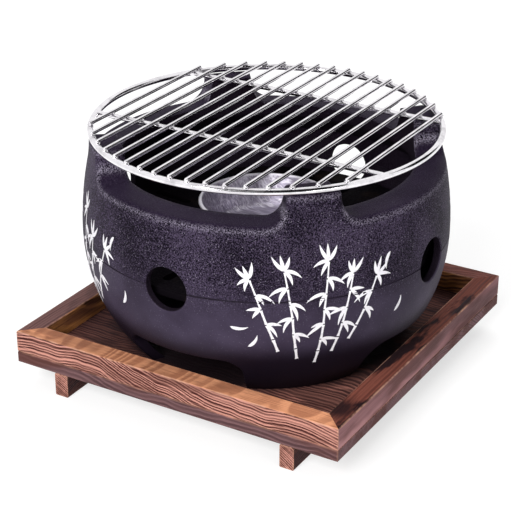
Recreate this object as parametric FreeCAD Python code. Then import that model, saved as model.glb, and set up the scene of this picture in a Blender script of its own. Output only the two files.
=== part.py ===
import FreeCAD, Part
import math
import os

Vector = FreeCAD.Vector

# Wooden tray, all lengths in millimetres
tray_side = 240.0
board_thickness = 8.0
rail_height = 15.0
rail_width = 14.0
runner_height = 16.0
runner_width = 10.0
runner_inset = 35.0
wood_edge_round = 0.8

# Brads driven into the tray from below
brad_diameter = 1.6
brad_set_depth = 0.6
brad_clearance = 0.02
rail_brad_length = 17.0
rail_brad_inset = 65.0
runner_brad_length = 21.0
runner_brad_inset = 30.0

# Bowl, two castings that meet at the widest line
belly_overhang = 1.4
bowl_room = 2.8
lower_height = 76.5
upper_height = 65.8
lug_inset = 6.6
wall = 5.0
seam_break = 0.5

# Lip of the lower casting that keeps the upper one in place
lip_height = 4.0
lip_thickness = 2.2
lip_clearance = 0.3

# Feet, arches and floor of the lower casting
skirt_wall = 6.0
arch_width = 70.0
arch_height = 29.0
arch_corner = 12.0
arch_edge_round = 2.0
arch_web = 3.0
bowl_floor_thickness = 5.0

# Ribs inside the lower casting that carry the grate below the seam
rib_width = 10.0
rib_depth = 13.0
grate_drop = 11.5

# Vents, centred on the seam
vent_diameter = 29.0
vent_edge_round = 1.2

# Rim of the upper casting, with lugs and the notches between them
rim_width = 18.0
notch_depth = 19.3
notch_corner = 16.0
lug_width = 34.0
rim_edge_round = 2.8
shoulder_thickness = 8.0
shoulder_slope = 16.0

# Charcoal grate
grate_thickness = 5.0
grate_rim_gap = 5.0
grate_edge_round = 1.0
grate_slot_width = 6.0
grate_border = 10.8
grate_row_gap = 14.0
grate_hub_radius = 22.0

# Fuel dish
dish_radius = 45.0
dish_height = 22.0
dish_floor_radius = 36.0
dish_corner = 5.0
dish_sheet = 0.8
dish_bead = 2.2

# Wire net
ring_wire = 4.4
bar_wire = 2.8
crossbar_wire = 3.4
net_seat_gap = 0.3
weld_sink = 0.4
bar_overhang = 1.0
bar_end_round = 0.8
outer_bar_inset = 20.4
crossbar_front_offset = 41.0
crossbar_back_offset = 58.0

# How far every cutter runs past what it cuts
overrun = 2.0

# Counts and angles in degrees
bar_count = 17
grate_outer_slot_count = 20
grate_inner_slot_count = 10
runner_brad_count = 3
lug_azimuth = 45
quarter_turns = (0, 90, 180, 270)

# Shares that shape the curves
quarter_round_share = 0.5523
upper_arc_share = 0.675
edge_sample_shares = (0.02, 0.3, 0.7, 0.98)
near_share = 0.01

# Heights and radii that follow from the sizes above
floor_z = runner_height + board_thickness
seam_z = floor_z + lower_height
lug_top_z = seam_z + upper_height
rail_reach = tray_side / 2 - rail_width
belly_radius = tray_side / 2 + belly_overhang
bowl_taper = belly_radius - rail_reach + bowl_room
taper_height = lower_height - rail_height
lower_arc_radius = (bowl_taper ** 2 + taper_height ** 2) / (2 * bowl_taper)
lug_top_radius = belly_radius - lug_inset
mouth_radius = lug_top_radius - rim_width
notch_floor_z = lug_top_z - notch_depth
bowl_underside_z = floor_z + arch_height + arch_web
bowl_floor_z = bowl_underside_z + bowl_floor_thickness
grate_seat_z = seam_z - grate_drop
grate_top_z = grate_seat_z + grate_thickness
ring_z = lug_top_z + net_seat_gap + ring_wire / 2
ring_radius = lug_top_radius - rim_edge_round / 2
bar_z = ring_z + ring_wire / 2 + bar_wire / 2 - weld_sink
bar_pitch = 2 * (ring_radius - outer_bar_inset) / (bar_count - 1)
crossbar_z = bar_z - bar_wire / 2 - crossbar_wire / 2 + weld_sink
near = wall * near_share

origin = Vector(0, 0, 0)
along_x = Vector(1, 0, 0)
along_y = Vector(0, 1, 0)
upward = Vector(0, 0, 1)


def turned(shape, degrees):
    """A copy of a shape, turned about the vertical axis."""
    copy = shape.copy()
    copy.rotate(origin, upward, degrees)
    return copy


def at_quarters(shape, start=0):
    """Four copies of a shape, a quarter turn apart."""
    return [turned(shape, start + degrees) for degrees in quarter_turns]


def line(start, end):
    return Part.LineSegment(start, end).toShape()


def arc(start, middle, end):
    return Part.Arc(start, middle, end).toShape()


def polyline(points):
    """Straight edges from point to point."""
    return [line(start, end) for start, end in zip(points, points[1:])]


def half_plane(radius, height):
    """A point of a turned profile."""
    return Vector(radius, 0, height)


def turn_profile(edges):
    """A solid of revolution about the vertical axis."""
    return Part.Face(Part.Wire(edges)).revolve(origin, upward, 360)


# Wooden tray


def brad(x, y, start_z, length, clearance=0):
    """A headless brad, or with a clearance the hole that it sits in."""
    radius = brad_diameter / 2 + clearance
    return Part.makeCylinder(radius, length, Vector(x, y, start_z), upward)


def rail_brads(clearance=0):
    """Two brads up through the board into each rail."""
    edge = tray_side / 2 - rail_width / 2
    start = runner_height + brad_set_depth - clearance
    reach = tray_side / 2 - rail_brad_inset
    places = [(side * reach, -edge) for side in (-1, 1)]
    pair = Part.Compound([brad(x, y, start, rail_brad_length + clearance, clearance) for x, y in places])
    return Part.Compound(at_quarters(pair))


def runner_brads(clearance=0):
    """A row of brads up through each runner into the board."""
    start = brad_set_depth - clearance
    reach = tray_side / 2 - runner_brad_inset
    pitch = 2 * reach / (runner_brad_count - 1)
    solids = []
    for side in (-1, 1):
        for index in range(runner_brad_count):
            x = side * (tray_side / 2 - runner_inset)
            y = index * pitch - reach
            solids.append(brad(x, y, start, runner_brad_length + clearance, clearance))
    return Part.Compound(solids)


def set_holes(shape, brads):
    """Cuts the holes of brads, and the short recess below each of their ends."""
    recesses = []
    for solid in brads.Solids:
        box = solid.BoundBox
        below = Vector(box.Center.x, box.Center.y, box.ZMin - brad_set_depth - overrun)
        recesses.append(Part.makeCylinder(box.XLength / 2, brad_set_depth + overrun, below, upward))
    return shape.cut(Part.Compound(brads.Solids + recesses))


def round_long_edges(shape, least_length):
    """Rounds the edges along a board, and leaves its joints sharp."""
    edges = [edge for edge in shape.Edges if edge.Length > least_length]
    return shape.makeFillet(wood_edge_round, edges)


def base_board():
    corner = Vector(-tray_side / 2, -tray_side / 2, runner_height)
    board = Part.makeBox(tray_side, tray_side, board_thickness, corner)
    board = round_long_edges(board, board_thickness + near)
    board = set_holes(board, rail_brads(brad_clearance))
    return board.cut(runner_brads(brad_clearance))


def rail():
    """The front rail, with mitred ends."""
    outer = tray_side / 2
    inner = rail_reach
    points = [
        Vector(-outer, -outer, floor_z),
        Vector(outer, -outer, floor_z),
        Vector(inner, -inner, floor_z),
        Vector(-inner, -inner, floor_z),
        Vector(-outer, -outer, floor_z),
    ]
    bar = Part.Face(Part.makePolygon(points)).extrude(upward * rail_height)
    return round_long_edges(bar, inner)


def runner(side):
    """A runner under the board, along Y."""
    middle = side * (tray_side / 2 - runner_inset)
    corner = Vector(middle - runner_width / 2, -tray_side / 2, 0)
    bar = Part.makeBox(runner_width, tray_side, runner_height, corner)
    bar = round_long_edges(bar, tray_side / 2)
    return set_holes(bar, runner_brads(brad_clearance))


# Curves of the two castings


def lower_point(height, inset):
    """A point of the lower casting's arc, set in from its outer face."""
    reach = lower_arc_radius - inset
    radius = belly_radius - lower_arc_radius + math.sqrt(reach ** 2 - (seam_z - height) ** 2)
    return half_plane(radius, height)


def lower_radius(height):
    """Outer radius of the lower casting at a height."""
    return lower_point(height, 0).x


def lower_arc(low, high, inset):
    """Three points of the lower casting's arc, from one height up to another."""
    return [lower_point(height, inset) for height in (low, (low + high) / 2, high)]


def upper_curve():
    """Angle and radii of the two tangent arcs from the belly to the lug tops."""
    angle = 2 * math.atan2(lug_inset, upper_height)
    both_radii = upper_height / math.sin(angle)
    belly_arc = both_radii * upper_arc_share
    return angle, belly_arc, both_radii - belly_arc


def belly_arc_points(start, end, inset):
    """Three points of the upper casting's belly arc between two angles."""
    belly_arc = upper_curve()[1]
    reach = belly_arc - inset
    centre = belly_radius - belly_arc
    angles = (start, (start + end) / 2, end)
    return [half_plane(centre + reach * math.cos(a), seam_z + reach * math.sin(a)) for a in angles]


def lug_arc_points():
    """Three points of the hollow arc that ends upright at the lug tops."""
    angle, _, lug_arc = upper_curve()
    centre = lug_top_radius + lug_arc
    angles = (angle, angle / 2, 0)
    return [half_plane(centre - lug_arc * math.cos(a), lug_top_z - lug_arc * math.sin(a)) for a in angles]


def upper_radius(height):
    """Outer radius of the upper casting at a height."""
    angle, belly_arc, lug_arc = upper_curve()
    above_seam = height - seam_z
    if above_seam <= belly_arc * math.sin(angle):
        return belly_radius - belly_arc + math.sqrt(belly_arc ** 2 - above_seam ** 2)
    return lug_top_radius + lug_arc - math.sqrt(lug_arc ** 2 - (lug_top_z - height) ** 2)


# Cutters for the castings


def slot_wire(distance, half_angle, flat_z, open_z, corner, corner_width):
    """A slot with one flat end and two round corners, in the plane y = -distance."""
    half = distance * math.tan(half_angle)
    rise = math.copysign(corner, open_z - flat_z)
    slack_share = 1 - quarter_round_share
    sides = []
    for side in (-1, 1):
        poles = [
            Vector(side * half, -distance, flat_z + rise),
            Vector(side * half, -distance, flat_z + rise * slack_share),
            Vector(side * (half - corner_width * slack_share), -distance, flat_z),
            Vector(side * (half - corner_width), -distance, flat_z),
        ]
        curve = Part.BezierCurve()
        curve.setPoles(poles)
        sides.append((Vector(side * half, -distance, open_z), poles, curve.toShape()))
    (left_end, left, left_curve), (right_end, right, right_curve) = sides
    edges = [line(left_end, left[0]), left_curve, line(left[3], right[3])]
    edges += [right_curve, line(right[0], right_end), line(right_end, left_end)]
    return Part.Wire(edges)


def radial_slot(width, width_radius, inner, outer, flat_z, open_z, corner):
    """A slot cutter towards -Y whose sides point at the axis."""
    half_angle = math.asin(width / 2 / width_radius)
    reference = width_radius * math.cos(half_angle)
    wires = []
    for distance in (inner, outer):
        corner_width = corner * distance / reference
        wires.append(slot_wire(distance, half_angle, flat_z, open_z, corner, corner_width))
    return Part.makeLoft(wires, True, True)


def outer_edges(shape, radius_at, low, high):
    """Edges that lie on a casting's outer face, wholly between two heights."""
    chosen = []
    for edge in shape.Edges:
        first, last = edge.ParameterRange
        points = [edge.valueAt(first + (last - first) * share) for share in edge_sample_shares]
        between = all(low - near < point.z < high + near for point in points)
        if between and all(abs(math.hypot(point.x, point.y) - radius_at(point.z)) < near for point in points):
            chosen.append(edge)
    return chosen


def farthest_radius(edge):
    """The greatest distance of an edge's ends from the vertical axis."""
    return max(math.hypot(vertex.X, vertex.Y) for vertex in edge.Vertexes)


def sloping(edges):
    """The edges that don't lie at one height."""
    return [edge for edge in edges if edge.BoundBox.ZLength > near]


def cut_vents(shape, radius_at, low, high):
    """Cuts four round holes through the belly, centred on the seam, and rounds their outer edges."""
    reach = belly_radius + overrun
    hole = Part.makeCylinder(vent_diameter / 2, reach - mouth_radius, Vector(0, -reach, seam_z), along_y)
    body = shape.cut(Part.Compound(at_quarters(hole)))
    return body.makeFillet(vent_edge_round, sloping(outer_edges(body, radius_at, low, high)))


# Lower casting


def grate_rib():
    """One upright rib on the inner wall, towards -Y, with a flat top for the grate."""
    tip = lower_point(grate_seat_z, wall).x - rib_depth
    root_z = bowl_floor_z - bowl_floor_thickness / 2
    corner = Vector(-rib_width / 2, -belly_radius, root_z)
    block = Part.makeBox(rib_width, belly_radius - tip, grate_seat_z - root_z, corner)
    outline = lower_arc(floor_z, seam_z, wall / 2)
    axis = [half_plane(0, seam_z), half_plane(0, floor_z)]
    limit = turn_profile([arc(*outline)] + polyline([outline[2]] + axis + [outline[0]]))
    return block.common(limit)


def lower_blank():
    """Bowl, skirt and lip, before the arches and vents are cut."""
    lip_radius = belly_radius - wall + lip_thickness
    lip_top = seam_z + lip_height
    outer = lower_arc(floor_z, seam_z - seam_break, 0)
    inner = lower_arc(bowl_floor_z, seam_z, wall)
    skirt = lower_arc(floor_z, bowl_underside_z, skirt_wall)
    lip = [
        outer[2],
        half_plane(belly_radius - seam_break, seam_z),
        half_plane(lip_radius, seam_z),
        half_plane(lip_radius, lip_top),
        half_plane(belly_radius - wall, lip_top),
        inner[2],
    ]
    floor = [inner[0], half_plane(0, bowl_floor_z), half_plane(0, bowl_underside_z), skirt[2]]
    edges = [arc(*outer)] + polyline(lip) + [arc(*reversed(inner))] + polyline(floor)
    return turn_profile(edges + [arc(*reversed(skirt)), line(skirt[0], outer[0])])


def lower_shell():
    """Lower casting, with four feet between its arches and four ribs inside."""
    foot_radius = lower_radius(floor_z)
    arch_top = floor_z + arch_height
    inner = foot_radius / 2
    outer = belly_radius + overrun
    arch = radial_slot(arch_width, foot_radius, inner, outer, arch_top, floor_z - overrun, arch_corner)
    body = lower_blank().cut(Part.Compound(at_quarters(arch)))
    edges = outer_edges(body, lower_radius, floor_z, arch_top)
    body = body.makeFillet(arch_edge_round, [e for e in edges if e.BoundBox.ZMax > floor_z + near])
    body = body.fuse(at_quarters(grate_rib(), lug_azimuth)).removeSplitter()
    return cut_vents(body, lower_radius, seam_z - vent_diameter / 2, seam_z)


# Upper casting


def upper_blank():
    """Belly, shoulder and rim, before the notches and vents are cut."""
    angle, belly_arc, _ = upper_curve()
    recess_radius = belly_radius - wall + lip_thickness + lip_clearance
    recess_top = seam_z + lip_height + lip_clearance
    shoulder_z = notch_floor_z - shoulder_thickness
    slope_z = shoulder_z - shoulder_slope
    slope_angle = math.asin((slope_z - seam_z) / (belly_arc - wall))
    recess_angle = math.asin((recess_top - seam_z) / (belly_arc - wall))
    outer = belly_arc_points(math.asin(seam_break / belly_arc), angle, 0)
    inner = belly_arc_points(slope_angle, recess_angle, wall)
    lug = lug_arc_points()
    rim = [lug[2], half_plane(mouth_radius, lug_top_z), half_plane(mouth_radius, shoulder_z), inner[0]]
    foot = [
        inner[2],
        half_plane(recess_radius, recess_top),
        half_plane(recess_radius, seam_z),
        half_plane(belly_radius - seam_break, seam_z),
        outer[0],
    ]
    edges = [arc(*outer), arc(outer[2], lug[1], lug[2])] + polyline(rim)
    return turn_profile(edges + [arc(*inner)] + polyline(foot))


def upper_shell():
    """Upper casting, with four lugs between rounded notches."""
    lug_angle = 2 * math.asin(lug_width / 2 / lug_top_radius)
    notch_width = 2 * lug_top_radius * math.sin(math.pi / 4 - lug_angle / 2)
    inner = mouth_radius / 2
    outer = belly_radius + overrun
    open_z = lug_top_z + overrun
    notch = radial_slot(notch_width, lug_top_radius, inner, outer, notch_floor_z, open_z, notch_corner)
    body = upper_blank().cut(Part.Compound(at_quarters(notch)))
    outline = outer_edges(body, upper_radius, notch_floor_z, lug_top_z)
    notch_edges = [edge for edge in outline if edge.BoundBox.ZMin < lug_top_z - near]
    top = [edge for edge in body.Edges if edge.BoundBox.ZMin > lug_top_z - near]
    lug_edges = [edge for edge in top if farthest_radius(edge) > mouth_radius + near]
    body = body.makeFillet(rim_edge_round, notch_edges + lug_edges)
    return cut_vents(body, upper_radius, seam_z, seam_z + vent_diameter / 2)


# Inside the bowl


def grate_slot(start, length):
    """A radial slot cutter with round ends, towards -Y."""
    half = grate_slot_width / 2
    low = Vector(0, 0, grate_seat_z - overrun)
    depth = grate_thickness + 2 * overrun
    straight = length - grate_slot_width
    first = start + half
    block = Part.makeBox(grate_slot_width, straight, depth, low + Vector(-half, -first - straight, 0))
    ends = [Part.makeCylinder(half, depth, low - along_y * y, upward) for y in (first, first + straight)]
    return block.fuse(ends).removeSplitter()


def charcoal_grate():
    """A round slotted plate that lies on the ribs."""
    radius = lower_point(grate_seat_z, wall).x - grate_rim_gap
    plate = Part.makeCylinder(radius, grate_thickness, Vector(0, 0, grate_seat_z), upward)
    rims = [edge for edge in plate.Edges if edge.Closed]
    plate = plate.makeFillet(grate_edge_round, rims)
    slot_length = (radius - grate_border - grate_row_gap - grate_hub_radius) / 2
    rows = (
        (grate_hub_radius, grate_inner_slot_count),
        (grate_hub_radius + slot_length + grate_row_gap, grate_outer_slot_count),
    )
    slots = []
    for start, count in rows:
        slot = grate_slot(start, slot_length)
        slots += [turned(slot, (index + 0.5) * 360 / count) for index in range(count)]
    return plate.cut(Part.Compound(slots))


def dish_blank(inset):
    """The dish as a solid, set in by a thickness at its floor and wall."""
    low = grate_top_z + inset
    cone = Part.makeCone(
        dish_floor_radius - inset,
        dish_radius - dish_bead / 2 - inset,
        dish_height,
        Vector(0, 0, low),
        upward,
    )
    bottom = [edge for edge in cone.Edges if edge.Closed and edge.BoundBox.ZMax < low + near]
    return cone.makeFillet(dish_corner - inset, bottom)


def fuel_dish():
    """A pressed dish with a rolled rim."""
    sheet = dish_blank(0).cut(dish_blank(dish_sheet))
    rim_z = grate_top_z + dish_height - dish_bead / 2
    bead = Part.makeTorus(dish_radius - dish_bead / 2, dish_bead / 2, Vector(0, 0, rim_z), upward)
    return sheet.fuse(bead).removeSplitter()


# Wire net


def net_ring():
    return Part.makeTorus(ring_radius, ring_wire / 2, Vector(0, 0, ring_z), upward)


def net_crossbar(offset):
    """A bar along X in the plane of the ring, fitted to the ring's inside."""
    half = math.sqrt((ring_radius - ring_wire / 4) ** 2 - offset ** 2)
    wire = Part.makeCylinder(crossbar_wire / 2, 2 * half, Vector(-half, offset, crossbar_z), along_x)
    return wire.cut(net_ring())


def net_bar(index, under):
    """A bar along Y, seated in shallow saddles on the ring and the crossbars."""
    x = (index - (bar_count - 1) / 2) * bar_pitch
    half = math.sqrt(ring_radius ** 2 - x ** 2) + bar_overhang
    wire = Part.makeCylinder(bar_wire / 2, 2 * half, Vector(x, -half, bar_z), along_y)
    ends = [edge for edge in wire.Edges if edge.Closed]
    return wire.makeFillet(bar_end_round, ends).cut(under)


def build():
    """Every piece by its name."""
    rail_holes = rail_brads(brad_clearance)
    ring = net_ring()
    crossbar_front = net_crossbar(-crossbar_front_offset)
    crossbar_back = net_crossbar(crossbar_back_offset)
    pieces = {
        "base_board": base_board(),
        "runner_left": runner(-1),
        "runner_right": runner(1),
        "rail_brads": rail_brads(),
        "runner_brads": runner_brads(),
        "lower_shell": lower_shell(),
        "upper_shell": upper_shell(),
        "charcoal_grate": charcoal_grate(),
        "fuel_dish": fuel_dish(),
        "net_ring": ring,
        "net_crossbar_front": crossbar_front,
        "net_crossbar_back": crossbar_back,
    }
    for name, degrees in zip(("front", "right", "back", "left"), quarter_turns):
        pieces["rail_" + name] = turned(rail(), degrees).cut(rail_holes)
    under = Part.Compound([ring, crossbar_front, crossbar_back])
    for index in range(bar_count):
        pieces["net_bar_%02d" % (index + 1)] = net_bar(index, under)
    return pieces


os.makedirs("parts", exist_ok=True)
for name, shape in build().items():
    shape.exportStep("parts/" + name + ".step")
    print(name, shape.isValid(), len(shape.Solids), round(shape.Volume), len(shape.Faces))
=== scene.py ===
import math
import random
from collections import namedtuple

import bmesh
import bpy
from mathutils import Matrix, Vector
from mathutils.bvhtree import BVHTree


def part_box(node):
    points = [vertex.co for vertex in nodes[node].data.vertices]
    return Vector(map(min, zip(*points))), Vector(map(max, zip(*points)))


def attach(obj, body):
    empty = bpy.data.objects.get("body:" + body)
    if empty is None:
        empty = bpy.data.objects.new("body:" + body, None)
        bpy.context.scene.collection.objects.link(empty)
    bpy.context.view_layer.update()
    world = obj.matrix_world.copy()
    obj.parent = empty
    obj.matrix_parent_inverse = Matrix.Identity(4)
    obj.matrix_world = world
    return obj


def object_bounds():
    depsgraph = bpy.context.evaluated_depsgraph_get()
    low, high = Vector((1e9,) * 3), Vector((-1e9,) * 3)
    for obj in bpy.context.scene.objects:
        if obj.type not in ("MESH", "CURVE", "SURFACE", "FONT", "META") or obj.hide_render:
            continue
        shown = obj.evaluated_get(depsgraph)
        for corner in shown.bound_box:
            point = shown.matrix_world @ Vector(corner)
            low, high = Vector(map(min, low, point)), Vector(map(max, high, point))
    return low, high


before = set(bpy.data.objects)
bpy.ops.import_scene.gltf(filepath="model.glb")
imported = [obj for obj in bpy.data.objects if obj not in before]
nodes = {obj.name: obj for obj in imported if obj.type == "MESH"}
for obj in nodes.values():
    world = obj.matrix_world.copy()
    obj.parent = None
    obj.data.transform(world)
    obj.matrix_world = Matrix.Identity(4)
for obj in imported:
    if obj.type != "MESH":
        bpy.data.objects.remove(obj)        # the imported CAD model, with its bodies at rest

cad_low, cad_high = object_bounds()
millimetre = 0.001

# Camera: places in metres, lens and sensor in millimetres
camera_place = Vector((0.4879, -0.8325, 0.5323))
camera_target = Vector((-0.00526, -0.00459, 0.07438))
camera_lens = 111.77
camera_sensor = 36.0

# Lamps, in metres and watts: the key in front, the top lamp behind and above, the rim lamp on the right
key_place = Vector((0.12, -1.80, 1.25))
key_side = 1.1
key_power = 47.0
top_place = Vector((-0.45, 1.25, 1.45))
top_side = 1.2
top_power = 21.0
rim_place = Vector((1.4, -0.7, 0.32))
rim_side = 0.5
rim_power = 6.0

# What lamps and cards look at, and the world's level on the object and where it is seen
aim_point = Vector((0, 0, 0.08))
world_level = 0.27
world_white = 1.0

# Floor: side in metres, its own grey, and the white that it adds where it is seen
floor_side = 12.0
floor_grey = (0.42, 0.42, 0.42)
floor_white = 0.66

# Black cards that give the bright wire its dark lines
front_card_place = Vector((0.52, -0.68, 0.78))
front_card_side = 1.55
back_card_place = Vector((1.6, 2.2, 1.2))
back_card_side = 1.9

# Dull surface of floor and cards
stage_white = (1.0, 1.0, 1.0)
card_black = (0.012, 0.011, 0.013)
stage_roughness = 0.9
stage_gloss = 0.0

# Castings: height and radius of the seam, and the heights between which the foot is darkened as painted
# shade
lower_low, lower_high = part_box("lower_shell")
seam_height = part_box("upper_shell")[0].z
seam_radius = lower_high.x
foot_shade_top = lower_low.z + 49.0 * millimetre
foot_shade_low = lower_low.z + 29.0 * millimetre

# Colours, linear
wood_pale = (0.66, 0.310, 0.246)
wood_dark = (0.058, 0.016, 0.014)
# Colours of single faces, partly the wood's own and partly painted light: the front rail's top, the right
# rail's outer face and the board's top are set lighter where the lamps give them little light
wood_toast = (0.92, 0.410, 0.220)
wood_toast_late = (0.54, 0.215, 0.115)
wood_rose = (0.57, 0.295, 0.305)
wood_rose_late = (0.31, 0.147, 0.155)
wood_brown = (0.270, 0.088, 0.062)
wood_brown_late = (0.150, 0.047, 0.036)
wood_gold = (0.46, 0.190, 0.062)
wood_gold_late = (0.05, 0.022, 0.012)
wood_plum = (0.13, 0.068, 0.068)
# Black of the charred wood, also the painted shade under the bowl
wood_char_and_shade = (0.014, 0.009, 0.012)
wood_umber = (0.105, 0.038, 0.030)
wood_worn = (0.66, 0.36, 0.25)
right_inside = (0.16, 0.06, 0.03)
back_top = (0.22, 0.085, 0.070)
back_top_late = (0.13, 0.045, 0.038)
left_top = (0.17, 0.090, 0.085)
left_top_late = (0.10, 0.048, 0.045)
board_top = (0.580, 0.245, 0.190)
board_top_late = (0.130, 0.050, 0.043)
board_front = (0.185, 0.100, 0.104)
board_front_late = (0.085, 0.043, 0.046)
board_right = (0.260, 0.145, 0.155)
board_right_late = (0.120, 0.065, 0.070)
runner_side = (0.085, 0.036, 0.034)
cast_black = (0.003, 0.0016, 0.0050)
cast_grey = (0.072, 0.054, 0.095)
satin_black = (0.032, 0.0235, 0.043)
satin_grey = (0.057, 0.044, 0.076)
# Grey of the coating's specks, also the painted highlight on the notches' rolled edges
speck_and_highlight_grey = (0.28, 0.25, 0.32)
# Dark line of the seam's joint, and painted shade inside the bowl, in the vents and at the foot
seam_and_shade_black = (0.0072, 0.0041, 0.0086)
inner_shade_grey = (0.016, 0.011, 0.019)
# Painted shade on the notches' rolled edges
roll_shade_satin = (0.0125, 0.0070, 0.0190)
wire_white = (0.88, 0.86, 0.89)
wire_grey = (0.66, 0.64, 0.67)
dish_pale = (0.44, 0.40, 0.50)
dish_grey = (0.19, 0.17, 0.22)
dish_bright = (0.86, 0.83, 0.90)
iron_black = (0.004, 0.003, 0.0045)
iron_rust = (0.012, 0.008, 0.007)
zinc_pale = (0.48, 0.47, 0.45)
zinc_grey = (0.24, 0.23, 0.22)
brush_white = (0.90, 0.88, 0.92)
brush_thin = (0.62, 0.58, 0.66)

# Kinds of noise, as detail and roughness, and the middle of their values
noise_single = (0.0, 0.5)
noise_smooth = (1.0, 0.5)
noise_wavy = (2.0, 0.5)
noise_gritty = (2.0, 0.6)
noise_cloudy = (3.0, 0.55)
noise_rough = (3.0, 0.6)
noise_ragged = (3.0, 0.65)
noise_patchy = (4.0, 0.62)
noise_rusty = (4.0, 0.65)
noise_middle = 0.5

# Share of metal in bare steel and in the stained dish
bare_metal = 1.0
dish_metal = 0.85


# Node trees


# Input sockets of the Mix node for share, first and second, and its output socket
mix_sockets = {"VECTOR": (0, 4, 5, 1), "RGBA": (0, 6, 7, 2)}
opaque = 1.0


class Tree:
    """A node tree, with short calls for the nodes in it."""

    def __init__(self, tree):
        self.tree = tree

    def node(self, kind, inputs=(), **settings):
        made = self.tree.nodes.new(kind)
        for key, value in settings.items():
            setattr(made, key, value)
        for key, value in dict(inputs).items():
            self.put(made.inputs[key], value)
        return made

    def put(self, socket, value):
        """Links a socket, or sets its own value."""
        if isinstance(value, bpy.types.NodeSocket):
            self.tree.links.new(value, socket)
        elif socket.type == "RGBA":
            socket.default_value = (*value, opaque)
        else:
            socket.default_value = value

    def math(self, operation, first, second=0.0, third=0.0):
        inputs = {0: first, 1: second, 2: third}
        return self.node("ShaderNodeMath", inputs, operation=operation).outputs[0]

    def plus(self, first, second):
        return self.math("ADD", first, second)

    def minus(self, first, second):
        return self.math("SUBTRACT", first, second)

    def times(self, first, second):
        return self.math("MULTIPLY", first, second)

    def times_plus(self, first, second, third):
        return self.math("MULTIPLY_ADD", first, second, third)

    def greater(self, first, second):
        return self.math("MAXIMUM", first, second)

    def seen(self, shown, hidden):
        """One value for rays that show the background, also in metal or glass, and one for the rest."""
        light_path = self.node("ShaderNodeLightPath").outputs
        showing = self.greater(light_path["Is Camera Ray"], light_path["Is Glossy Ray"])
        showing = self.greater(showing, light_path["Is Transmission Ray"])
        return self.times_plus(showing, shown - hidden, hidden)


class Shader(Tree):
    """A material with a Principled shader, and the nodes that feed it."""

    def __init__(self, name):
        self.material = bpy.data.materials.new(name)
        self.material.use_nodes = True
        super().__init__(self.material.node_tree)
        self.surface = self.tree.nodes["Principled BSDF"]
        coordinates = self.node("ShaderNodeTexCoord").outputs
        self.place = coordinates["Object"]
        self.normal = coordinates["Normal"]

    def set(self, **values):
        """Sets inputs of the Principled shader, with spaces in their names written as underlines."""
        for key, value in values.items():
            self.put(self.surface.inputs[key.replace("_", " ")], value)

    def vector(self, operation, first, second=(0, 0, 0)):
        """The outputs of a vector operation, Vector and Value."""
        inputs = {0: first, 1: second}
        return self.node("ShaderNodeVectorMath", inputs, operation=operation).outputs

    def split(self, vector):
        """The three parts of a vector."""
        return self.node("ShaderNodeSeparateXYZ", {0: vector}).outputs

    def join(self, x, y, z):
        return self.node("ShaderNodeCombineXYZ", {0: x, 1: y, 2: z}).outputs[0]

    def stretched(self, scale, shift=(0, 0, 0), turn=0.0):
        """The object's own coordinates, turned about Z, scaled per metre and shifted."""
        inputs = {"Vector": self.place, "Scale": scale, "Location": shift, "Rotation": (0, 0, turn)}
        return self.node("ShaderNodeMapping", inputs).outputs[0]

    def noise(self, vector, kind, scale=1.0, distortion=0.0):
        detail, roughness = kind
        inputs = {"Vector": vector, "Scale": scale, "Detail": detail, "Roughness": roughness}
        made = self.node("ShaderNodeTexNoise", inputs)
        made.inputs["Distortion"].default_value = distortion
        return made.outputs[0]

    def cells(self, vector, scale):
        """Distance to the nearest cell's middle, and a random colour for each cell."""
        return self.node("ShaderNodeTexVoronoi", {"Vector": vector, "Scale": scale}).outputs[0:2]

    def step(self, value, low, high, start=0.0, end=1.0):
        """A smooth step from start to end as a value goes from low to high."""
        inputs = {"Value": value, "From Min": low, "From Max": high, "To Min": start, "To Max": end}
        made = self.node("ShaderNodeMapRange", inputs, interpolation_type="SMOOTHSTEP")
        return made.outputs[0]

    def between(self, share, start, end):
        """A smooth step from start to end as a share goes from 0 to 1."""
        return self.step(share, 0.0, 1.0, start, end)

    def mix(self, share, first, second, kind="RGBA"):
        """A colour between two colours, or a vector between two vectors."""
        made = self.node("ShaderNodeMix", data_type=kind)
        *inputs, result = mix_sockets[kind]
        for index, value in zip(inputs, (share, first, second)):
            self.put(made.inputs[index], value)
        return made.outputs[result]

    def bump(self, height, strength, distance, below=None):
        """A bumped normal, on top of another one if it is given."""
        inputs = {"Height": height, "Strength": strength, "Distance": distance}
        made = self.node("ShaderNodeBump", inputs)
        if below is not None:
            self.put(made.inputs["Normal"], below)
        return made.outputs[0]


# Faces, as axis and sign, and how straight a face has to look along its axis
top_face = (2, 1.0)
front_face = (1, -1.0)
back_face = (1, 1.0)
right_face = (0, 1.0)
left_face = (0, -1.0)
facing_slope = (0.55, 0.85)


def facing(shader, face):
    """1 on faces that look along an axis, 0 on the others."""
    axis, sign = face
    return shader.step(shader.times(shader.split(shader.normal)[axis], sign), *facing_slope)


def edge_nearness(shader, low, high, reach):
    """1 along a box's edges and 0 away from them, from the box's corners."""
    near = []
    for part, least, most in zip(shader.split(shader.place), low, high):
        middle = (least + most) / 2
        half = (most - least) / 2
        away = shader.math("ABSOLUTE", shader.minus(part, middle))
        near.append(shader.step(away, half - reach, half))
    x, y, z = near
    at_x = shader.greater(shader.times(x, y), shader.times(x, z))
    return shader.greater(at_x, shader.times(y, z))


def inward(shader, outer, inner):
    """1 on faces that look towards the bowl's axis, 0 on its outside, between two cosines to the outside."""
    level = shader.vector("MULTIPLY", shader.place, (1.0, 1.0, 0.0))["Vector"]
    outward = shader.vector("NORMALIZE", level)["Vector"]
    along = shader.vector("DOT_PRODUCT", outward, shader.normal)["Value"]
    return shader.step(along, outer, inner)


def dress(node, material):
    """Gives a CAD node its material."""
    slots = nodes[node].data.materials
    slots.clear()
    slots.append(material)


# Wood of the tray


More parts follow.
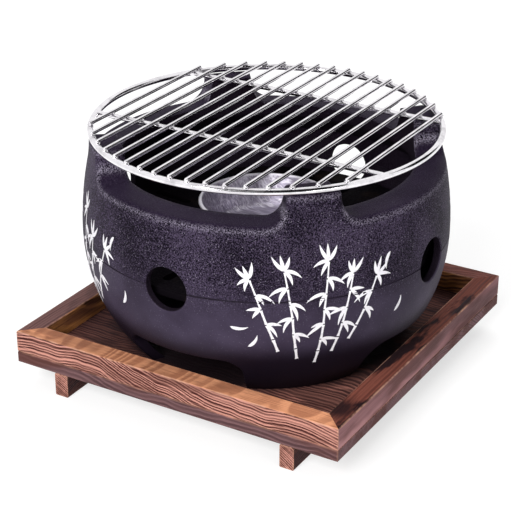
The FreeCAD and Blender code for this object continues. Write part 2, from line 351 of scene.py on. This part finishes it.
# Waves of the heart line and of the rings, per metre and in metres or rings
bend_scale = 11.0
bend_height = 40.0 * millimetre
ripple_scale = 36.0
ripple_height = 8.0 * millimetre
drift_scale = 150.0
drift_rings = 2.6

# Fibres: scale per metre, how far they fray a ring, in rings, and how much they show
fibre_across = 1000.0
fibre_along = 26.0
fibre_rings = 0.2
fibre_contrast = 1.6

# Late wood: its start and end in the year, and how strong it is from year to year
late_start = (0.12, 0.55)
late_end = (1.0, 0.82)
late_strength = (0.25, 0.6, 0.45, 1.0)
year_scale = 3.7

# Burnt patches on level faces and mottling on upright ones: scale per metre, and where in the noise they are
patch_across = 60.0
patch_up = 70.0
patch_along = 16.0
patch_burnt = (0.48, 0.58)
upright_slope = (0.8, 0.3)
mottle_scale = 0.8
mottle_show = (0.43, 0.62, 0.0, 0.68)
stain_ragged = 50.0 * millimetre

# Worn edges: width, chips per metre, where in the noise they are, and the share of wear between them
wear_reach = 1.3 * millimetre
chip_scale = (90.0, 90.0, 90.0)
chip_show = (0.38, 0.62)
chip_least = 0.1

# Surface: roughness of early and late wood, gloss, how fibres and late wood rise, bump strength and height
wood_roughness = (0.62, 0.44)
wood_gloss = 0.03
fibre_rise = 0.5
late_rise = 0.8
wood_bump = (0.55, 0.4 * millimetre)


def burnt_wood(node, grain_axis, heart, tilt, pitch, seed, burn, wear, looks, dark_patches=()):
    """Carbonised softwood: growth rings around a tilted heart line, with burnt patches and worn edges.

    The heart is the line's place across the grain and its height, and the pitch is a ring's width. Burn
    says how dark the burnt patches are, and wear how pale the edges are. The looks give faces their own two
    colours. A dark patch is darkest at its centre and fades out between two distances from it.
    """
    low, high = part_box(node)
    shader = Shader("wood_" + node)
    parts = shader.split(shader.place)
    along = parts[grain_axis]
    across = parts[1 - grain_axis]
    height = parts[2]

    bend = shader.join(shader.times_plus(along, bend_scale, seed), seed, across)
    bend = shader.times(shader.noise(bend, noise_smooth), bend_height)
    ripple = shader.join(shader.times_plus(along, ripple_scale, seed), across, height)
    ripple = shader.times(shader.noise(ripple, noise_wavy), ripple_height)
    side = shader.minus(across, heart[0])
    rise = shader.plus(height, shader.plus(bend, ripple))
    rise = shader.plus(rise, shader.times(along, tilt))
    rise = shader.minus(rise, heart[1])
    ring = shader.math("SQRT", shader.plus(shader.times(side, side), shader.times(rise, rise)))

    fibre_scale = [fibre_across, fibre_across, fibre_across]
    fibre_scale[grain_axis] = fibre_along
    fibres = shader.noise(shader.stretched(fibre_scale, (seed, seed, seed)), noise_rough)
    drift = shader.noise(shader.join(shader.times(ring, drift_scale), seed, 0.0), noise_smooth)
    years = shader.times_plus(drift, drift_rings, shader.math("DIVIDE", ring, pitch))
    years = shader.times_plus(fibres, fibre_rings, years)
    season = shader.math("FRACT", years)
    year = shader.times(shader.math("FLOOR", years), year_scale)
    strength = shader.noise(shader.join(year, seed, seed), noise_single)
    late = shader.times(shader.step(season, *late_start), shader.step(season, *late_end))
    late = shader.times(late, shader.step(strength, *late_strength))
    late = shader.times_plus(shader.minus(fibres, noise_middle), fibre_contrast, late)

    colour = shader.mix(late, wood_pale, wood_dark)
    for look in looks:
        share = shader.times(facing(shader, look.face), look.amount)
        colour = shader.mix(share, colour, shader.mix(late, look.early, look.late))

    patch_scale = [patch_across, patch_across, patch_up]
    patch_scale[grain_axis] = patch_along
    blotch = shader.noise(shader.stretched(patch_scale, (seed, 0, 0)), noise_patchy)
    upright = shader.step(shader.math("ABSOLUTE", shader.split(shader.normal)[2]), *upright_slope)
    burnt = shader.times(shader.step(blotch, *patch_burnt, 0.0, burn), shader.minus(1.0, upright))
    colour = shader.mix(burnt, colour, wood_char_and_shade)
    mottle = shader.noise(shader.stretched(patch_scale, (0, 0, seed)), noise_rough, mottle_scale)
    mottle = shader.times(shader.step(mottle, *mottle_show), upright)
    colour = shader.mix(mottle, colour, wood_umber)

    # Dark patches; on the board one of them is painted shade under the bowl
    for stain in dark_patches:
        flat = shader.join(parts[0], parts[1], 0.0)
        reach = shader.vector("DISTANCE", flat, (*stain.centre, 0.0))["Value"]
        reach = shader.times_plus(shader.minus(blotch, noise_middle), stain_ragged, reach)
        share = shader.step(reach, stain.start, stain.end, stain.amount, 0.0)
        share = shader.times(share, shader.between(upright, 1.0, stain.upright))
        colour = shader.mix(share, colour, wood_char_and_shade)

    chips = shader.noise(shader.stretched(chip_scale, (0, seed, 0)), noise_rough)
    chips = shader.step(chips, *chip_show, chip_least * wear, wear)
    worn = shader.times(edge_nearness(shader, low, high, wear_reach), chips)
    colour = shader.mix(worn, colour, wood_worn)

    raised = shader.times_plus(fibres, fibre_rise, shader.times(late, late_rise))
    shader.set(Base_Color=colour, Roughness=shader.between(late, *wood_roughness))
    shader.set(Specular_IOR_Level=wood_gloss, Normal=shader.bump(raised, *wood_bump))
    return shader.material


# A face's early and late colour, and how much it takes of them. These are partly the wood's own colours and
# partly painted light: the front rail's and the board's top faces and the right rail's outer face are set
# lighter to make up for the little light that the lamps give them.
Look = namedtuple("Look", "face early late amount", defaults=(1.0,))

# Centre of a dark patch, the distances between which it fades, how dark it is, and what upright faces take
# of it
DarkPatch = namedtuple("DarkPatch", "centre start end amount upright", defaults=(0.0,))

front_looks = [
    Look(top_face, wood_toast, wood_toast_late),
    Look(back_face, wood_char_and_shade, wood_plum, amount=0.9),
]
front_dark_patches = [DarkPatch(centre=(-0.060, -0.112), start=0.06, end=0.15, amount=0.26)]
right_looks = [
    Look(right_face, wood_rose, wood_rose_late),
    Look(top_face, wood_brown, wood_brown_late),
    Look(left_face, right_inside, wood_char_and_shade, amount=0.95),
]
right_dark_patches = [
    DarkPatch(centre=(0.112, 0.120), start=0.06, end=0.21, amount=0.42, upright=1.0),
    DarkPatch(centre=(0.108, -0.099), start=0.004, end=0.017, amount=0.9),
]
back_looks = [
    Look(top_face, back_top, back_top_late),
    Look(front_face, wood_gold, wood_gold_late),
]
left_looks = [
    Look(top_face, left_top, left_top_late),
    Look(right_face, wood_gold, wood_gold_late),
]
board_looks = [
    Look(top_face, board_top, board_top_late),
    Look(front_face, board_front, board_front_late),
    Look(right_face, board_right, board_right_late),
]
# The first darkens the board under the bowl and round its foot as painted shade; the others darken its left
# and right parts
board_dark_patches = [
    DarkPatch(centre=(0.0, 0.0), start=0.084, end=0.108, amount=0.985),
    DarkPatch(centre=(-0.10, 0.0), start=0.05, end=0.17, amount=0.86),
    DarkPatch(centre=(0.11, 0.04), start=0.06, end=0.11, amount=0.80),
]
runner_looks = [Look(right_face, runner_side, wood_char_and_shade)]

# Grain along X or Y, and each piece's rings and wear
grain_x = 0
grain_y = 1
wood_pieces = {
    "rail_front": dict(
        grain_axis=grain_x, heart=(-0.110, -0.060), tilt=0.10, pitch=2.1 * millimetre, seed=3.1,
        burn=0.25, wear=0.85, looks=front_looks, dark_patches=front_dark_patches,
    ),
    "rail_right": dict(
        grain_axis=grain_y, heart=(0.070, 0.060), tilt=0.02, pitch=2.6 * millimetre, seed=7.7,
        burn=0.95, wear=0.85, looks=right_looks, dark_patches=right_dark_patches,
    ),
    "rail_back": dict(
        grain_axis=grain_x, heart=(0.080, 0.010), tilt=0.03, pitch=2.4 * millimetre, seed=11.3,
        burn=0.3, wear=0.5, looks=back_looks,
    ),
    "rail_left": dict(
        grain_axis=grain_y, heart=(-0.070, 0.050), tilt=0.02, pitch=2.4 * millimetre, seed=17.9,
        burn=0.3, wear=0.5, looks=left_looks,
    ),
    "base_board": dict(
        grain_axis=grain_x, heart=(0.010, -0.050), tilt=0.02, pitch=1.8 * millimetre, seed=23.4,
        burn=0.6, wear=0.2, looks=board_looks, dark_patches=board_dark_patches,
    ),
    "runner_left": dict(
        grain_axis=grain_y, heart=(-0.140, -0.060), tilt=0.02, pitch=1.4 * millimetre, seed=31.2,
        burn=0.2, wear=0.5, looks=runner_looks,
    ),
    "runner_right": dict(
        grain_axis=grain_y, heart=(0.020, -0.060), tilt=0.02, pitch=1.4 * millimetre, seed=31.2,
        burn=0.2, wear=0.5, looks=runner_looks,
    ),
}
for wood_name, wood_look in wood_pieces.items():
    dress(wood_name, burnt_wood(wood_name, **wood_look))


# Castings of the bowl


# Grain per metre, and the band around the seam where the coarse coating gives way to the satin one
coarse_scale = 1300.0
fine_scale = 2700.0
cloud_scale = 24.0
coarse_below = 18.0 * millimetre
coarse_above = 16.0 * millimetre

# Parts of grain and cloud in the two tones, and where they turn from black to grey
coarse_part = 0.8
coarse_cloud = 0.3
coarse_light = (0.47, 0.68)
satin_part = 0.25
satin_cloud = 0.75
satin_light = (0.35, 0.65)

# Bright specks: cells per metre, share that shows, edges, and strength on satin and on coarse
speck_scale = 1200.0
speck_share = 0.13
speck_edge = (0.42, 0.18)
speck_show = (0.25, 0.85)

# Rolled edges of the upper casting's notches, as they catch the light: radius, start above the seam, fade
roll_radius = 7.0 * millimetre
roll_start = 20.0 * millimetre
roll_fade = 10.0 * millimetre
roll_samples = 6

# Slopes of the roll that get painted shade, and of the band that gets a painted highlight, and the grit that
# shows there
roll_slope = (0.30, 0.72)
roll_shade = 0.75
highlight_start = (0.20, 0.38)
highlight_end = (0.64, 0.46)
highlight_grit = (0.44, 0.60, 0.0, 0.95)

# Dark line of the seam's joint, and painted shade on the vents' walls and the inside by their cosines to the
# outside, and at the foot
seam_line = 0.8 * millimetre
seam_dark = 0.85
seam_patches = (0.35, 0.6, 0.4, 1.0)
vent_reach = 17.0 * millimetre
vent_core = 0.85 * vent_reach
vent_wall = (0.75, 0.35)
inner_wall = (-0.05, -0.35)
foot_shade = 0.95

# Surface: roughness, gloss, the coarse grain's share on satin and on coarse, bump strength and height
coating_roughness = (0.3, 0.7, 0.44, 0.58)
inner_roughness = 0.85
coarse_gloss = 0.04
satin_gloss = 0.075
coarse_show = (0.12, 1.0)
coarse_bump = (0.7, 0.60 * millimetre)
fine_bump = (0.45, 0.12 * millimetre)


def casting(name, roll_height, gloss):
    """Black coating on cast aluminium: coarse above, satin below, with painted shade inside, in the vents
    and at the foot, and painted shade and a painted highlight on the notches' rolled edges.
    """
    shader = Shader(name)
    height = shader.split(shader.place)[2]
    coarse_share = shader.step(height, seam_height - coarse_below, seam_height + coarse_above)
    coarse = shader.noise(shader.place, noise_gritty, coarse_scale)
    fine = shader.noise(shader.place, noise_wavy, fine_scale)
    cloud = shader.noise(shader.place, noise_cloudy, cloud_scale)
    tone = shader.times_plus(cloud, coarse_cloud, shader.times(coarse, coarse_part))
    light = shader.step(tone, *coarse_light)
    satin_tone = shader.times_plus(cloud, satin_cloud, shader.times(fine, satin_part))
    satin = shader.mix(shader.step(satin_tone, *satin_light), satin_black, satin_grey)
    colour = shader.mix(coarse_share, satin, shader.mix(light, cast_black, cast_grey))

    near, chance = shader.cells(shader.place, speck_scale)
    speck = shader.step(shader.split(chance)[0], 1.0 - speck_share, 1.0 - speck_share / 2)
    speck = shader.times(speck, shader.step(near, *speck_edge))
    speck = shader.times(speck, shader.between(coarse_share, *speck_show))
    colour = shader.mix(speck, colour, speck_and_highlight_grey)

    rolled = shader.node("ShaderNodeBevel", {"Radius": roll_radius}, samples=roll_samples).outputs[0]
    plain = shader.node("ShaderNodeNewGeometry").outputs["Normal"]
    upper = shader.step(height, roll_height, roll_height + roll_fade)
    normal = shader.mix(upper, plain, rolled, "VECTOR")
    # Painted shade on the rolled edges' slopes that face up
    slope = shader.split(normal)[2]
    upward = shader.times(upper, shader.step(slope, *roll_slope))
    colour = shader.mix(shader.times(upward, roll_shade), colour, roll_shade_satin)
    # Painted highlight on the band of the roll that faces the key lamp, with grit
    painted_highlight = shader.times(shader.step(slope, *highlight_start), shader.step(slope, *highlight_end))
    painted_highlight = shader.times(painted_highlight, shader.step(coarse, *highlight_grit))
    colour = shader.mix(shader.times(upper, painted_highlight), colour, speck_and_highlight_grey)

    from_seam = shader.math("ABSOLUTE", shader.minus(height, seam_height))
    seam = shader.step(from_seam, seam_line, seam_line / 2, 0.0, seam_dark)
    seam = shader.times(seam, shader.step(cloud, *seam_patches))
    colour = shader.mix(seam, colour, seam_and_shade_black)
    # Painted shade on the vents' walls and on the inside of the bowl
    vent = shader.times(inward(shader, *vent_wall), shader.step(from_seam, vent_reach, vent_core))
    inner = shader.greater(inward(shader, *inner_wall), vent)
    colour = shader.mix(inner, colour, shader.mix(light, seam_and_shade_black, inner_shade_grey))
    # Painted shade: the foot darkens towards the bottom, where the bowl curves under
    foot = shader.step(height, foot_shade_top, foot_shade_low, 0.0, foot_shade)
    colour = shader.mix(foot, colour, seam_and_shade_black)

    rough = shader.greater(shader.step(fine, *coating_roughness), shader.times(inner, inner_roughness))
    shader.set(Base_Color=colour, Roughness=rough, Specular_IOR_Level=gloss)
    grain = shader.times(coarse, shader.between(coarse_share, *coarse_show))
    below = shader.bump(grain, *coarse_bump, normal)
    shader.set(Normal=shader.bump(fine, *fine_bump, below))
    return shader.material


dress("upper_shell", casting("black_casting_upper", seam_height + roll_start, coarse_gloss))
dress("lower_shell", casting("black_casting_lower", cad_high.z, satin_gloss))


# Bare metals of the net, dish, grate and brads


# Wire: drawing marks and stains per metre, and where in the noise the stains are
mark_scale = 900.0
wire_stain_scale = 70.0
wire_stain = (0.4, 0.7)
wire_roughness = (0.3, 0.7, 0.08, 0.16)
wire_bump = (0.25, 0.05 * millimetre)


def bright_wire():
    """Polished stainless wire with faint drawing marks."""
    shader = Shader("net_wire")
    marks = shader.noise(shader.place, noise_gritty, mark_scale)
    stain = shader.noise(shader.place, noise_rough, wire_stain_scale)
    shader.set(Base_Color=shader.mix(shader.step(stain, *wire_stain), wire_white, wire_grey))
    shader.set(Metallic=bare_metal, Roughness=shader.step(marks, *wire_roughness))
    shader.set(Normal=shader.bump(marks, *wire_bump))
    return shader.material


# Dish: brushed streaks and stains per metre, the streaks' turn in radians, and their parts in the tone
streak_scale = (60.0, 900.0, 300.0)
streak_turn = 0.5
streak_part = 0.7
dish_stain_scale = 55.0
dish_stain_curl = 0.4
dish_stain_part = 0.5
dish_light = (0.42, 0.76)

# Scratches: scale per metre, turns in radians, width and strength, and the patches where they are deep
scratch_scale = (34.0, 420.0, 170.0)
scratch_turns = (0.25, 1.15, 2.05, 2.75)
scratch_width = 0.05
scratch_share = 0.55
scratch_patch_scale = (90.0, 90.0, 90.0)
scratch_patch = (0.42, 0.62)

# Bright rim and surface of the dish
dish_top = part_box("fuel_dish")[1].z
rim_reach = 1.6 * millimetre
dish_roughness = (0.3, 0.7, 0.30, 0.48)
dish_bump = (0.35, 0.12 * millimetre)


def brushed_dish():
    """Pressed sheet steel with brushed streaks, heat stains, scratches all ways and a bright rim."""
    shader = Shader("dish_steel")
    streak = shader.noise(shader.stretched(streak_scale, turn=streak_turn), noise_ragged)
    stain = shader.noise(shader.place, noise_rough, dish_stain_scale, dish_stain_curl)
    tone = shader.times_plus(streak, streak_part, shader.times(stain, dish_stain_part))
    colour = shader.mix(shader.step(tone, *dish_light), dish_grey, dish_pale)
    for turn in scratch_turns:
        line = shader.noise(shader.stretched(scratch_scale, turn=turn), noise_smooth)
        line = shader.math("ABSOLUTE", shader.minus(line, noise_middle))
        deep = shader.noise(shader.stretched(scratch_patch_scale, (turn, 0, 0)), noise_smooth)
        line = shader.times(shader.step(line, scratch_width, 0.0), shader.step(deep, *scratch_patch))
        colour = shader.mix(shader.times(line, scratch_share), colour, dish_bright)
    rim = shader.step(shader.split(shader.place)[2], dish_top - rim_reach, dish_top)
    colour = shader.mix(rim, colour, dish_bright)
    shader.set(Base_Color=colour, Metallic=dish_metal)
    shader.set(Roughness=shader.step(streak, *dish_roughness))
    shader.set(Normal=shader.bump(streak, *dish_bump))
    return shader.material


# Grate: grain and rust per metre, and where in the noise the rust is
iron_scale = 700.0
rust_scale = 45.0
rust_patch = (0.5, 0.75)
iron_gloss = 0.02
iron_roughness = (0.3, 0.7, 0.6, 0.85)
iron_bump = (0.6, 0.3 * millimetre)


def rough_iron():
    """Cast iron of the grate, with a little rust."""
    shader = Shader("grate_iron")
    grain = shader.noise(shader.place, noise_rough, iron_scale)
    rust = shader.noise(shader.place, noise_rusty, rust_scale)
    shader.set(Base_Color=shader.mix(shader.step(rust, *rust_patch), iron_black, iron_rust))
    shader.set(Specular_IOR_Level=iron_gloss, Roughness=shader.step(grain, *iron_roughness))
    shader.set(Normal=shader.bump(grain, *iron_bump))
    return shader.material


# Brads: stains per metre
zinc_scale = 500.0
zinc_roughness = (0.3, 0.7, 0.35, 0.55)


def zinc_brad():
    """Dull zinc of the brads."""
    shader = Shader("brad_steel")
    stain = shader.noise(shader.place, noise_rough, zinc_scale)
    shader.set(Base_Color=shader.mix(stain, zinc_grey, zinc_pale))
    shader.set(Metallic=bare_metal, Roughness=shader.step(stain, *zinc_roughness))
    return shader.material


dress("charcoal_grate", rough_iron())
dress("fuel_dish", brushed_dish())
brad_finish = zinc_brad()
for brad_name in ("rail_brads", "runner_brads"):
    dress(brad_name, brad_finish)
wire_finish = bright_wire()
net_nodes = [name for name in nodes if name.startswith("net_")]
for net_name in net_nodes:
    dress(net_name, wire_finish)


# Weld beads of the net


# Size of a bead as shares of the bar's radius, its roundness, and its lumps along X and Y
bead_width = 1.55
bead_length = 1.15
bead_height = 0.75
bead_subdivisions = 2
bead_lump = 0.10
lump_waves = (5.0, 4.0)
lump_shifts = (400.0, 300.0)


def weld_beads():
    """A small flattened bead wherever a bar lies on the ring or on a crossbar."""
    ring_low, ring_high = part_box("net_ring")
    ring_wire = ring_high.z - ring_low.z
    ring_radius = (ring_high.x - ring_low.x - ring_wire) / 2
    crossbar_heights = {}
    for name in ("net_crossbar_front", "net_crossbar_back"):
        low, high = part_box(name)
        crossbar_heights[(low.y + high.y) / 2] = high.z
    mesh = bmesh.new()
    for name in net_nodes:
        if not name.startswith("net_bar"):
            continue
        low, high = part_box(name)
        x = (low.x + high.x) / 2
        reach = math.sqrt(ring_radius ** 2 - x ** 2)
        places = [(y, ring_high.z) for y in (-reach, reach)]
        places += [(y, z) for y, z in crossbar_heights.items() if abs(y) < reach]
        for y, z in places:
            add_bead(mesh, Vector((x, y, z)), (high.x - low.x) / 2)
    piece = new_piece("weld_beads", mesh, wire_finish, True)
    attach(piece, "net")


def add_bead(mesh, place, bar_radius):
    """One bead, wider than the bar and a little lumpy."""
    size = Vector((bar_radius * bead_width, bar_radius * bead_length, bar_radius * bead_height))
    made = bmesh.ops.create_icosphere(mesh, subdivisions=bead_subdivisions, radius=1.0)
    for vertex in made["verts"]:
        x, y, z = vertex.co
        wave_x = math.sin(lump_waves[0] * x + lump_shifts[0] * place.x)
        wave_y = math.cos(lump_waves[1] * y + lump_shifts[1] * place.y)
        lump = 1.0 + bead_lump * wave_x * wave_y
        vertex.co = place + Vector((x * size.x, y * size.y, z * size.z)) * lump


def new_piece(name, mesh, material, smooth):
    """An object from a finished bmesh."""
    data = bpy.data.meshes.new(name)
    bmesh.ops.recalc_face_normals(mesh, faces=mesh.faces)
    mesh.to_mesh(data)
    mesh.free()
    data.materials.append(material)
    for polygon in data.polygons:
        polygon.use_smooth = smooth
    piece = bpy.data.objects.new(name, data)
    bpy.context.collection.objects.link(piece)
    return piece


weld_beads()


# Painted sprigs of bamboo on the bowl


# Film of paint: how far it stands proud and reaches under the face, and the gap that it leaves at the seam
film_proud = 0.12 * millimetre
film_sunk = 0.20 * millimetre
seam_gap = 0.05 * millimetre

# Canes: sizes, limits of each one's length and lean, the taper up a stalk, and the swelling at the ends
cane_length = 9.6 * millimetre
cane_width = 1.6 * millimetre
cane_gap = 0.9 * millimetre
cane_steps = 6
cane_lengths = (0.85, 1.15)
cane_leans = (-0.04, 0.04)
cane_taper = 0.5
cane_swell = 0.45
swell_power = 4

# Leaves: sizes, and the powers that set where a leaf is widest and how full it is
leaf_length = 11.0 * millimetre
leaf_width = 2.3 * millimetre
leaf_steps = 8
leaf_middle = 0.7
leaf_fullness = 0.8
tip_width = 0.15 * millimetre

# Leaves at a joint, at the top and loose: limits of their lengths, and angles and bends in radians
joint_lengths = (0.7, 1.25)
joint_spreads = ((-0.15, 0.2), (0.5, 0.9))
joint_bends = (-0.5, -0.2)
top_lengths = (0.75, 1.1)
top_turns = (-0.7, 0.15, 0.8)
top_bend = -0.3
loose_bend = 0.5

# Stalks: degrees past a vent, foot height, canes and lean. Loose leaves: degrees, height and direction
quarters = 4
quarter_turn = 90
sprig_seed = 12
sprig_places = (
    (34, 0.064, 5, -0.34),
    (40, 0.057, 6, -0.14),
    (46, 0.052, 7, 0.06),
    (51, 0.060, 5, 0.20),
    (56, 0.068, 4, 0.40),
)
loose_leaves = (
    (20, 0.083, -0.5),
    (25, 0.068, 0.5),
    (69, 0.122, -2.4),
    (72, 0.079, 0.7),
)

# The two halves of the paint: name, body, and whether it is what lies above the seam
sprig_halves = (
    ("sprigs_upper", "upper_bowl", True),
    ("sprigs_lower", "lower_bowl", False),
)

# Paint: dry brush marks per metre, and where in the noise it is thin
dry_scale = 420.0
dry_patch = (0.52, 0.74)
paint_roughness = (0.3, 0.7, 0.5, 0.7)
paint_bump = (0.4, 0.15 * millimetre)


def brush_paint():
    """White brush paint that thins out over the cast grain."""
    shader = Shader("brush_paint")
    dry = shader.noise(shader.place, noise_ragged, dry_scale)
    shader.set(Base_Color=shader.mix(shader.step(dry, *dry_patch), brush_white, brush_thin))
    shader.set(Roughness=shader.step(dry, *paint_roughness), Normal=shader.bump(dry, *paint_bump))
    return shader.material


def surface_finder():
    """A function that finds the bowl's outer face at an angle from the front and a height."""
    trees = []
    for name in ("upper_shell", "lower_shell"):
        data = nodes[name].data
        corners = [vertex.co.copy() for vertex in data.vertices]
        trees.append(BVHTree.FromPolygons(corners, [tuple(p.vertices) for p in data.polygons]))
    start_radius = 2 * cad_high.x

    def find(angle, height):
        outward = Vector((math.sin(angle), -math.cos(angle), 0))
        start = outward * start_radius + Vector((0, 0, height))
        casts = [tree.ray_cast(start, -outward) for tree in trees]
        hits = [(distance, place, normal) for place, normal, _, distance in casts if place is not None]
        _, place, normal = min(hits, key=lambda hit: hit[0])
        return place, normal

    return find


def add_stroke(mesh, find, middle, points, widths):
    """A closed film along points, given as arc length and height from the middle's angle and height."""
    angle, height = middle
    rows = []
    for index, point in enumerate(points):
        before = points[max(index - 1, 0)]
        after = points[min(index + 1, len(points) - 1)]
        along = Vector((after[0] - before[0], after[1] - before[1])).normalized()
        across = Vector((-along.y, along.x)) * widths[index] / 2
        row = []
        for side in (1, -1):
            u = point[0] + side * across.x
            v = point[1] + side * across.y
            place, normal = find(angle + u / seam_radius, height + v)
            row.append((place + normal * film_proud, place - normal * film_sunk))
        (left_outer, left_inner), (right_outer, right_inner) = row
        corners = (left_outer, right_outer, right_inner, left_inner)
        rows.append([mesh.verts.new(corner) for corner in corners])
    for first, second in zip(rows, rows[1:]):
        for index in range(len(first)):
            other = (index + 1) % len(first)
            mesh.faces.new((first[index], first[other], second[other], second[index]))
    mesh.faces.new(rows[0])
    mesh.faces.new(reversed(rows[-1]))


def add_leaf(mesh, find, middle, root, direction, length, bend):
    """A pointed leaf that bends along its length."""
    points = []
    widths = []
    for index in range(leaf_steps + 1):
        share = index / leaf_steps
        turn = direction + bend * share
        reach = length * share
        points.append((root[0] + reach * math.cos(turn), root[1] + reach * math.sin(turn)))
        width = leaf_width * math.sin(math.pi * share ** leaf_middle) ** leaf_fullness
        widths.append(max(width, tip_width))
    add_stroke(mesh, find, middle, points, widths)


def add_stalk(mesh, find, middle, joints, lean, draw):
    """A bamboo stalk of short canes, with leaves at its upper joints."""
    u = 0.0
    v = 0.0
    for joint in range(joints):
        length = cane_length * draw.uniform(*cane_lengths)
        slope = lean + draw.uniform(*cane_leans)
        width = cane_width * (1.0 - cane_taper * joint / joints)
        shares = [index / cane_steps for index in range(cane_steps + 1)]
        points = [(u + slope * length * share, v + length * share) for share in shares]
        widths = [width * (1.0 + cane_swell * (2 * share - 1) ** swell_power) for share in shares]
        add_stroke(mesh, find, middle, points, widths)
        u += slope * (length + cane_gap)
        v += length + cane_gap
        if joint == 0:
            continue
        side = 1 if joint % 2 else -1
        for spread in [draw.uniform(*limits) for limits in joint_spreads]:
            direction = -spread if side > 0 else math.pi + spread
            size = leaf_length * draw.uniform(*joint_lengths)
            add_leaf(mesh, find, middle, (u, v), direction, size, draw.uniform(*joint_bends) * side)
    for turn in top_turns:
        size = leaf_length * draw.uniform(*top_lengths)
        add_leaf(mesh, find, middle, (u, v), math.pi / 2 - lean + turn, size, top_bend * turn)


def painted_sprigs():
    """Groups of stalks between the vents, split at the seam so that each half rides on its own casting."""
    draw = random.Random(sprig_seed)
    find = surface_finder()
    paint_finish = brush_paint()
    mesh = bmesh.new()
    for quarter in range(quarters):
        for angle, foot, joints, lean in sprig_places:
            middle = (math.radians(quarter * quarter_turn + angle), foot)
            add_stalk(mesh, find, middle, joints, lean, draw)
        for angle, height, direction in loose_leaves:
            middle = (math.radians(quarter * quarter_turn + angle), height)
            add_leaf(mesh, find, middle, (0, 0), direction, leaf_length, loose_bend)
    for name, body, keeps_upper in sprig_halves:
        half = mesh.copy()
        cut = bmesh.ops.bisect_plane(
            half,
            geom=half.verts[:] + half.edges[:] + half.faces[:],
            plane_co=(0, 0, seam_height + (seam_gap if keeps_upper else -seam_gap)),
            plane_no=(0, 0, 1),
            clear_inner=keeps_upper,
            clear_outer=not keeps_upper,
        )
        open_edges = [edge for edge in cut["geom_cut"] if isinstance(edge, bmesh.types.BMEdge)]
        bmesh.ops.holes_fill(half, edges=open_edges, sides=0)
        piece = new_piece(name, half, paint_finish, False)
        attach(piece, body)
    mesh.free()


painted_sprigs()


# Stage


def square(name, side, shader):
    """A flat square with its material."""
    half = side / 2
    corners = [(-half, -half, 0), (half, -half, 0), (half, half, 0), (-half, half, 0)]
    mesh = bpy.data.meshes.new(name)
    mesh.from_pydata(corners, [], [tuple(range(len(corners)))])
    mesh.materials.append(shader.material)
    made = bpy.data.objects.new(name, mesh)
    bpy.context.collection.objects.link(made)
    return made


def look_at(thing, place, target):
    """Puts a lamp, a card or the camera at its place, and turns it to its target."""
    thing.location = place
    thing.rotation_euler = (target - place).to_track_quat("-Z", "Y").to_euler()


def stage_floor():
    """A pale floor that shines white into the camera and keeps the object's shadow."""
    shader = Shader("floor_white")
    shader.set(Base_Color=floor_grey, Roughness=stage_roughness, Specular_IOR_Level=stage_gloss)
    shader.set(Emission_Color=stage_white, Emission_Strength=shader.seen(floor_white, 0.0))
    floor = square("floor", floor_side, shader)


def stage_world():
    """White to look at, and a plain level of light on the object."""
    world = bpy.data.worlds.new("studio")
    world.use_nodes = True
    bpy.context.scene.world = world
    tree = Tree(world.node_tree)
    background = world.node_tree.nodes["Background"].inputs
    tree.put(background["Color"], stage_white)
    tree.put(background["Strength"], tree.seen(world_white, world_level))


def stage_lamp(name, place, side, power, in_metal):
    """A square soft box that looks at the object, and that bright metal reflects or not."""
    lamp = bpy.data.lights.new(name, "AREA")
    lamp.size = side
    lamp.energy = power
    lamp_object = bpy.data.objects.new(name, lamp)
    look_at(lamp_object, place, aim_point)
    lamp_object.visible_camera = False
    lamp_object.visible_glossy = in_metal
    bpy.context.collection.objects.link(lamp_object)


def stage_card(name, place, side):
    """A black card that only bright metal reflects, and that takes no light from the object."""
    shader = Shader(name)
    shader.set(Base_Color=card_black, Roughness=stage_roughness, Specular_IOR_Level=stage_gloss)
    card = square(name, side, shader)
    look_at(card, place, aim_point)
    card.visible_camera = False
    card.visible_diffuse = False
    card.visible_transmission = False
    card.visible_shadow = False


def stage_camera():
    """The photograph's view."""
    camera = bpy.data.cameras.new("camera")
    camera.lens = camera_lens
    camera.sensor_width = camera_sensor
    camera_object = bpy.data.objects.new("camera", camera)
    look_at(camera_object, camera_place, camera_target)
    bpy.context.collection.objects.link(camera_object)
    bpy.context.scene.camera = camera_object


stage_floor()
stage_world()
stage_lamp("key", key_place, key_side, key_power, True)
stage_lamp("top", top_place, top_side, top_power, False)
stage_lamp("rim", rim_place, rim_side, rim_power, True)
stage_card("front_card", front_card_place, front_card_side)
stage_card("back_card", back_card_place, back_card_side)
stage_camera()
bpy.context.scene.view_settings.view_transform = "Standard"
